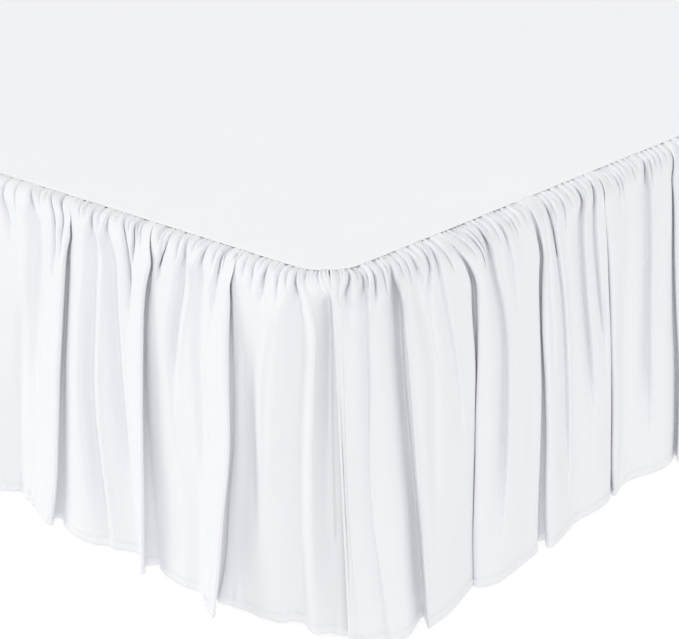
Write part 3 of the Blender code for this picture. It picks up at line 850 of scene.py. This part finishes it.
def panel_points(edge, hang, columns, relief, laps, rng):
    """The points of a panel's face, by column and row."""
    corner = np.exp(-((columns.from_corner / LAP_LENGTH) ** 2))[:, None]
    under = LAP_UNDER * hang.outward ** 2 * corner * columns.towards_end[:, None]
    along = columns.place - (1 - laps) * under + columns.lean * relief * hang.outward
    puff = laps * LAP_LIFT * hang.loose * corner - relief
    across = np.broadcast_to(columns.cloth[:, None], along.shape)
    down = np.broadcast_to(hang.shares * HANG, along.shape)
    for depth, width, length, full in UNEVENNESS:
        uneven = depth * lattice(across, down, width, length, rng)
        puff = puff + uneven * smooth(hang.shares / full)
    fine = FINE_UNEVENNESS * np.exp(-hang.shares / 0.45) * smooth(hang.shares / 0.03)
    puff = puff + fine * lattice(across, down, 0.0095, 0.13, rng)
    out = columns.out + puff * hang.outward
    slack = np.maximum(columns.out[:, -1:] - ROLL_RADIUS, 0.0) ** 2 / (2 * HANG)
    height = SEAM_HEIGHT - SEAM_DROP - hang.shares * (HANG - SEAM_DROP)
    height = height + slack * hang.shares + columns.lift + puff * hang.upward
    out, height = clear_of_box(out, height, hang.loose)
    return np.dstack((edge.place(along, out), height))


def hem_bands(distance):
    """A hem's step and its groove of stitches, for distances from its edge."""
    band = 1 - smooth((distance - HEM_WIDTH) / 0.0018)
    groove = np.exp(-(((distance - HEM_WIDTH * 0.86) / 0.0011) ** 2))
    return HEM_STEP * band - STITCH_DEPTH * groove


def hem_relief(hang, columns, rng):
    """The hems at the bottom edge and the split edges, rippled along the bottom."""
    up = (1 - hang.shares)[None, :] * HANG + 0 * columns.cloth[:, None]
    across = columns.cloth[:, None] + 0 * up
    side = np.minimum(across, columns.full - across)
    near = np.exp(-(((up - HEM_WIDTH * 0.8) / RIPPLE_WIDTH) ** 2))
    ripple = lattice(across, up, 0.0065, 0.05, rng)
    patches = smooth(lattice(across, up, 0.09, 0.9, rng) + 0.35)
    return hem_bands(up) + hem_bands(side) + HEM_RIPPLE * ripple * near * patches


def turned_back(lines, normals, distance, threads):
    """The lines of a hem's cloth that turn in behind the last of some lines."""
    beyond = lines[-1] - lines[-2]
    beyond /= np.linalg.norm(beyond, axis=1, keepdims=True)
    turned = [lines[-1] - normals[-1] * threads / 2 + beyond * HEM_THREADS / 3]
    for share in HEM_TURN:
        i = int(np.clip(np.searchsorted(-distance, -share * HEM_WIDTH), 1, len(distance) - 1))
        part = (distance[i - 1] - share * HEM_WIDTH) / (distance[i - 1] - distance[i])
        part = min(max(part, 0.0), 1.0)
        inner = mix(normals[i - 1], normals[i], part) * threads
        turned.append(mix(lines[i - 1], lines[i], part) - inner)
    return np.array(turned)


def with_hems(points, normals, hang, columns):
    """The face with its three hems turned in behind it."""
    up = (1 - hang.shares) * HANG
    rows = turned_back(points.swapaxes(0, 1), normals.swapaxes(0, 1), up, HEM_THREADS)
    points = np.concatenate((points, rows.swapaxes(0, 1)), axis=1)
    back = np.repeat(normals[:, -1:], len(rows), axis=1)
    normals = np.concatenate((normals, back), axis=1)
    up = np.concatenate((up, 0 * rows[:, 0, 0]))
    threads = (HEM_THREADS * (1 + smooth(1.5 - up / HEM_WIDTH)))[:, None]
    start = turned_back(points[::-1], normals[::-1], columns.cloth[::-1], threads)
    end = turned_back(points, normals, columns.full - columns.cloth, threads)
    return np.concatenate((start[::-1], points, end))


def with_tongue(points, edge):
    """The face with the strip of its seam that lies under the deck's edge."""
    top = points[:, :1].copy()
    top[..., :2] -= edge.outward * (SEAM_START - TONGUE[0])
    top[..., 2] = SEAM_HEIGHT - TONGUE[1]
    return np.concatenate((top, points), axis=1)


# Making meshes.


def add_object(name, data):
    thing = bpy.data.objects.new(name, data)
    bpy.context.scene.collection.objects.link(thing)
    return thing


def finished_object(name, shape):
    """The object of a finished bmesh, smoothly shaded."""
    mesh = bpy.data.meshes.new(name)
    shape.to_mesh(mesh)
    shape.free()
    mesh.shade_smooth()
    return add_object(name, mesh)


def lay_grid(name, points, across, down, outwards):
    """A sheet laid over the points, with the flat cloth as its map."""
    shape = bmesh.new()
    cols, rows = points.shape[:2]
    bmesh.ops.create_grid(shape, x_segments=cols - 1, y_segments=rows - 1, size=0.5)
    piece = finished_object(name, shape)
    mesh = piece.data
    flat = np.empty(len(mesh.vertices) * 3)
    mesh.vertices.foreach_get("co", flat)
    i = np.rint((flat[0::3] + 0.5) * (cols - 1)).astype(int)
    j = np.rint((0.5 - flat[1::3]) * (rows - 1)).astype(int)
    mesh.vertices.foreach_set("co", points[i, j].ravel())
    corners = np.empty(len(mesh.loops), dtype=np.int32)
    mesh.loops.foreach_get("vertex_index", corners)
    places = np.column_stack((across[i], down[j]))[corners]
    layer = mesh.uv_layers.new(name="cloth")
    layer.data.foreach_set("uv", places.ravel())
    if not outwards:
        mesh.flip_normals()
    shell = piece.modifiers.new("cloth thickness", "SOLIDIFY")
    shell.thickness = CLOTH
    shell.offset = 0.0
    return piece


def make_panel(name, edge, folds, paths, creases, laps, slant, near, far_step, seed):
    rng, path_rng = random.Random(seed), random.Random(seed + 1)
    hang = Hang()
    knots = panel_knots(edge, hang, folds, paths, slant, rng, path_rng)
    valleys, slits = gathers(*creases, edge.length, path_rng)
    puckers = stitch_puckers(near, edge.length, rng)
    places = [valley.seam for valley in valleys] + [slit[0] * MM for slit in slits]
    marks = [(place, SLIT_OFFSETS if place < near else (0,)) for place in places]
    marks += [(pucker[0] * MM, (0,)) for pucker in puckers if pucker[0] * MM < near]
    columns = Columns(edge, hang, knots, marks, near, far_step)
    columns.lean = slant * smooth(columns.seam / 0.060)[:, None]
    columns.out = columns.out + (1 - laps) * corner_fullness(hang, columns)
    relief = gather_relief(hang, columns, valleys, slits, puckers, 1 - 2 * laps)
    points = panel_points(edge, hang, columns, relief, laps, rng)
    normals = cloth_normals(points, edge)
    points = points + normals * hem_relief(hang, columns, rng)[..., None]
    points = with_tongue(with_hems(points, normals, hang, columns), edge)
    turned = np.concatenate(([0.0], np.array(HEM_TURN) * HEM_WIDTH)) + HEM_THREADS
    across = np.concatenate((-turned[::-1], columns.cloth, columns.full + turned))
    down = np.concatenate(([0.002], -hang.shares * HANG, -HANG - turned))
    piece = lay_grid(name, points, across, down, edge.clockwise)
    flat = (float(columns.full) + 2 * HEM_WIDTH, HANG + HEM_WIDTH)
    return piece, flat


# Materials.


class Value:
    """A shader value, on which arithmetic adds Math nodes."""

    def __init__(self, finish, socket):
        self.finish = finish
        self.socket = socket

    def __add__(self, other):
        return self.finish.math("ADD", self, other)

    def __sub__(self, other):
        return self.finish.math("SUBTRACT", self, other)

    def __rsub__(self, other):
        return self.finish.math("SUBTRACT", other, self)

    def __mul__(self, other):
        return self.finish.math("MULTIPLY", self, other)

    __radd__ = __add__
    __rmul__ = __mul__


class Finish:
    """A material that is made up of nodes."""

    def __init__(self, name, colour, roughness):
        self.material = bpy.data.materials.new(name)
        self.material.use_nodes = True
        self.nodes = self.material.node_tree.nodes
        self.links = self.material.node_tree.links
        self.shader = self.nodes["Principled BSDF"]
        self.feed("Base Color", colour)
        self.feed("Roughness", roughness)

    def set(self, socket, value):
        if isinstance(value, Value):
            self.links.new(value.socket, socket)
        else:
            socket.default_value = value

    def add(self, kind, settings, inputs, output):
        """A node, with its settings and the values of its sockets."""
        node = self.nodes.new(kind)
        for name, value in settings.items():
            setattr(node, name, value)
        for name, value in inputs.items():
            self.set(node.inputs[name], value)
        return Value(self, node.outputs[output])

    def feed(self, name, value):
        self.set(self.shader.inputs[name], value)

    def math(self, operation, one, other):
        return self.add("ShaderNodeMath", {"operation": operation}, {0: one, 1: other}, 0)

    def place(self, kind):
        return self.add("ShaderNodeTexCoord", {}, {}, kind)

    def noise(self, place, scale, detail):
        inputs = {"Vector": place, "Scale": scale, "Detail": detail}
        return self.add("ShaderNodeTexNoise", {}, inputs, "Fac")

    def threads(self, place, direction, scale, wobble):
        """Threads that run side by side, about 3.2 times the scale of them to the metre."""
        inputs = {"Vector": place, "Scale": scale, "Distortion": wobble}
        return self.add("ShaderNodeTexWave", {"bands_direction": direction}, inputs, "Fac")

    def surface(self, tone, shade, colour, roughness, height, distance, strength):
        """Tone, roughness and relief that vary over the surface."""
        colours = {0: tone, 6: shade, 7: colour}
        relief = {"Height": height, "Distance": distance, "Strength": strength}
        self.feed("Base Color", self.add("ShaderNodeMix", {"data_type": "RGBA"}, colours, 2))
        self.feed("Roughness", roughness)
        self.feed("Normal", self.add("ShaderNodeBump", {}, relief, "Normal"))
        return self.material


def cloth_finish(name, colour, shade):
    """Fine plain weave with a brushed nap, a little uneven in tone, and matt."""
    finish = Finish(name, colour, 0.85)
    finish.feed("Sheen Weight", 0.08)
    finish.feed("Sheen Roughness", 0.5)
    cloth = finish.place("UV")
    weave = finish.threads(cloth, "X", 523.0, 0.4) * finish.threads(cloth, "Y", 523.0, 0.4)
    mottle = finish.noise(cloth, 9.0, 3.0)
    nap = finish.noise(cloth, 700.0, 3.0)
    tone = mottle * 0.55 + nap * 0.3 + weave * 0.15
    height = weave * 0.5 + nap * 0.5
    return finish.surface(tone, shade, colour, 0.80 + nap * 0.12, height, 0.0001, 0.4)


def ticking_finish(name, colour, shade):
    """Plain woven ticking: a fine rib along the border and a dull, uneven tone."""
    finish = Finish(name, colour, 0.9)
    place = finish.place("Object")
    ribs = finish.threads(place, "Z", 190.0, 0.6)
    mottle = finish.noise(place, 6.0, 4.0)
    nap = finish.noise(place, 600.0, 2.0)
    tone = mottle * 0.5 + ribs * 0.3 + nap * 0.2
    height = ribs * 0.7 + nap * 0.3
    return finish.surface(tone, shade, colour, 0.84 + nap * 0.12, height, 0.0003, 0.5)


def wood_finish(name, colour, shade):
    """Dark stained wood, its grain running up the leg."""
    finish = Finish(name, colour, 0.42)
    finish.feed("Coat Weight", 0.25)
    finish.feed("Coat Roughness", 0.3)
    stretch = {"Vector": finish.place("Object"), "Scale": (60.0, 60.0, 5.0)}
    place = finish.add("ShaderNodeMapping", {}, stretch, 0)
    grain = finish.noise(place, 2.2, 6.0)
    pores = finish.noise(place, 14.0, 3.0)
    tone = grain * 0.75 + pores * 0.25
    return finish.surface(tone, shade, colour, 0.36 + pores * 0.16, pores, 0.0002, 0.3)


# Pieces.


def add_piece(piece, material, node):
    piece.data.materials.clear()
    piece.data.materials.append(material)
    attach(piece, "root")
    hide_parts(node)


def deck_lines(low, high, both):
    """Places of the deck's grid lines, closer together towards its sewn edges."""
    edge = np.array(DECK_LINES) * MM
    end = high - DECK_MARGIN if both else high
    inner = np.linspace(low + DECK_MARGIN, end, round((high - low) / DECK_STEP))
    return np.concatenate((low + edge, inner, high - edge[::-1] if both else edge[:0]))


def make_deck(material):
    """The flat cloth on top, drawn down a little into its seam."""
    x = deck_lines(-SIDE_SEAM_X, SIDE_SEAM_X, True)
    y = deck_lines(FOOT_SEAM_Y, HEAD_Y, False)
    across, along = np.meshgrid(x, y[::-1], indexing="ij")
    # The grid is drawn in at the two foot corners, which are round.
    dx = np.abs(across) - (SIDE_SEAM_X - CORNER_RADIUS)
    dy = FOOT_SEAM_Y + CORNER_RADIUS - along
    in_corner = (dx > 0) & (dy > 0)
    larger = np.maximum(dx, dy)
    draw = np.where(in_corner, larger / np.maximum(np.hypot(dx, dy), 1e-9), 1.0)
    plan_x = np.sign(across) * (SIDE_SEAM_X - CORNER_RADIUS + dx * draw)
    plan_y = FOOT_SEAM_Y + CORNER_RADIUS - dy * draw
    dip = DECK_DIP * smooth(1 - (CORNER_RADIUS - larger) / DIP_WIDTH)
    points = np.dstack((plan_x, plan_y, SEAM_HEIGHT - CLOTH / 2 - dip))
    piece = lay_grid("deck_sheet", points, x, y[::-1], True)
    add_piece(piece, material, "deck")


def make_panels(material):
    """The three panels. The side panels lap over the foot panel."""
    foot = (FOOT_EDGE, FOOT_FOLDS, FOOT_PATHS, (FOOT_VALLEYS, FOOT_SLITS), 0, FOOT_SLANT)
    right = (RIGHT_EDGE, SIDE_FOLDS, SIDE_PATHS, (SIDE_VALLEYS, SIDE_SLITS), 1, SIDE_SLANT)
    left = (LEFT_EDGE, SIDE_FOLDS[:1], (), (SIDE_VALLEYS[:4], SIDE_SLITS[:8]), 1, SIDE_SLANT)
    # Each ends with how far along its edge the grid is fine, its step past that, and its seed.
    panels = (
        ("foot_ruffle", "skirt_foot", *foot, 0.54, 0.0066, 11),
        ("right_ruffle", "skirt_side_right", *right, 0.59, 0.0092, 23),
        ("left_ruffle", "skirt_side_left", *left, 0.0, 0.0042, 37),
    )
    for name, node, *how in panels:
        piece, flat = make_panel(name, *how)
        add_piece(piece, material, node)


def border_step(height):
    """How far in the box spring's border lies: crowned, with a rolled tape at its edges."""
    for tape in TAPES:
        off = abs(height - tape) / TAPE_RADIUS
        if off < 1:
            return -TAPE_RADIUS * (1 - math.sqrt(1 - off * off))
    share = (height - BOX_LOW.z) / (BOX_TOP - BOX_LOW.z)
    return -TAPE_RADIUS - BORDER_CROWN * (2 * share - 1) ** 4


def make_box_spring(material):
    """The block under the deck: soft edges, a crowned border and two rolled tapes."""
    shape = bmesh.new()
    bmesh.ops.create_cube(shape, size=1.0)
    size = BOX_HIGH - BOX_LOW
    bmesh.ops.scale(shape, vec=size, verts=shape.verts)
    bmesh.ops.translate(shape, vec=(BOX_LOW + BOX_HIGH) / 2, verts=shape.verts)
    rounding = {"affect": "EDGES", "profile": 0.5, "material": -1}
    corner = CORNER_RADIUS + SEAM_INSET
    upright = [e for e in shape.edges if abs(e.verts[0].co.z - e.verts[1].co.z) > size.z / 2]
    bmesh.ops.bevel(shape, geom=upright, offset=corner, segments=8, **rounding)
    edges = ((BOX_TOP, SOFT_EDGE_RADIUS, 8), (BOX_LOW.z, BOTTOM_EDGE_RADIUS, 4))
    for height, radius, segments in edges:
        ring = [e for e in shape.edges if all(abs(v.co.z - height) < 1e-5 for v in e.verts)]
        bmesh.ops.bevel(shape, geom=ring, offset=radius, segments=segments, **rounding)
    cuts = [tape + step * TAPE_RADIUS for tape in TAPES for step in TAPE_CUTS]
    cuts += [BOX_LOW.z + share * size.z for share in np.linspace(0.2, 0.75, 6)]
    for cut in cuts:
        everything = shape.verts[:] + shape.edges[:] + shape.faces[:]
        bmesh.ops.bisect_plane(shape, geom=everything, plane_co=(0, 0, cut), plane_no=(0, 0, 1))
    low, high = BOX_LOW.z + BOTTOM_EDGE_RADIUS - 0.0005, BOX_TOP - SOFT_EDGE_RADIUS + 0.0001
    for vert in shape.verts:
        if low < vert.co.z < high:
            core = vert.co.copy()
            for i in (0, 1):
                core[i] = min(max(core[i], BOX_LOW[i] + corner), BOX_HIGH[i] - corner)
            vert.co += (vert.co - core).normalized() * border_step(vert.co.z)
    bmesh.ops.recalc_face_normals(shape, faces=shape.faces)
    piece = finished_object("box_spring_block", shape)
    add_piece(piece, material, "box_spring")


def make_legs(material):
    """Plain turned legs, each spun round its own middle."""
    for number in range(1, 7):
        node = f"leg_{number}"
        low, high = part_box(node)
        middle = (low + high) / 2
        shape = bmesh.new()
        points = [(out, low.z + up) for out, up in LEG_BELOW]
        points += [(out, high.z - down) for out, down in LEG_ABOVE]
        verts = [shape.verts.new((middle.x + out, middle.y, height)) for out, height in points]
        line = [shape.edges.new(pair) for pair in zip(verts, verts[1:])]
        bmesh.ops.spin(
            shape, geom=verts + line, cent=(middle.x, middle.y, 0), axis=(0, 0, 1),
            angle=2 * math.pi, steps=40, use_merge=True,
        )
        bmesh.ops.remove_doubles(shape, verts=shape.verts, dist=1e-6)
        bmesh.ops.recalc_face_normals(shape, faces=shape.faces)
        add_piece(finished_object(f"turned_{node}", shape), material, node)


# Floor, light and camera.


def make_floor():
    """A pale floor, bright enough to show no edge from above."""
    shape = bmesh.new()
    bmesh.ops.create_grid(shape, x_segments=1, y_segments=1, size=FLOOR_SIZE)
    floor = finished_object("floor", shape)
    finish = Finish("floor_paint", FLOOR_GREY, 0.9)
    finish.feed("Emission Color", (1.0, 1.0, 1.0, 1.0))
    finish.feed("Emission Strength", FLOOR_GLOW)
    floor.data.materials.append(finish.material)


def make_light():
    """Soft light from all round, and broad lights from three sides."""
    world = bpy.data.worlds.new("studio")
    bpy.context.scene.world = world
    world.use_nodes = True
    back = world.node_tree.nodes["Background"]
    back.inputs["Color"].default_value = (0.995, 0.995, 1.0, 1.0)
    back.inputs["Strength"].default_value = ROOM_LIGHT
    for name, azimuth, elevation, strength, breadth in KEYS:
        light = bpy.data.lights.new(name, "SUN")
        light.energy = strength * math.pi
        light.angle = math.radians(breadth)
        turn = (0.0, math.radians(90.0 - elevation), math.radians(azimuth))
        add_object(name, light).rotation_euler = turn
    bpy.context.scene.view_settings.view_transform = "Standard"


def make_camera():
    data = bpy.data.cameras.new("camera")
    data.sensor_width = SENSOR_WIDTH
    data.sensor_fit = "HORIZONTAL"
    data.lens = SENSOR_WIDTH * FOCAL_PIXELS / PHOTO_SIZE[0]
    turn = Matrix.Identity(4)
    turns = ((-CAMERA_HEADING, "Z"), (math.pi / 2 - CAMERA_PITCH, "X"), (CAMERA_ROLL, "Z"))
    for angle, axis in turns:
        turn = turn @ Matrix.Rotation(angle, 4, axis)
    camera = add_object("camera", data)
    camera.matrix_world = Matrix.Translation(CAMERA_PLACE) @ turn
    bpy.context.scene.camera = camera


def main():
    make_panels(cloth_finish("skirt_cloth_weave", SKIRT_WHITE, SKIRT_SHADE))
    # The deck's cloth gets lighter colours than the skirt's: painted light on top of its own
    # white.
    make_deck(cloth_finish("deck_cloth_painted_lighter", DECK_WHITE_WITH_PAINTED_LIGHT, DECK_SHADE_WITH_PAINTED_LIGHT))
    make_box_spring(ticking_finish("ticking_weave", *TICKING))
    make_legs(wood_finish("leg_stain", *STAIN))
    make_floor()
    make_light()
    make_camera()


main()
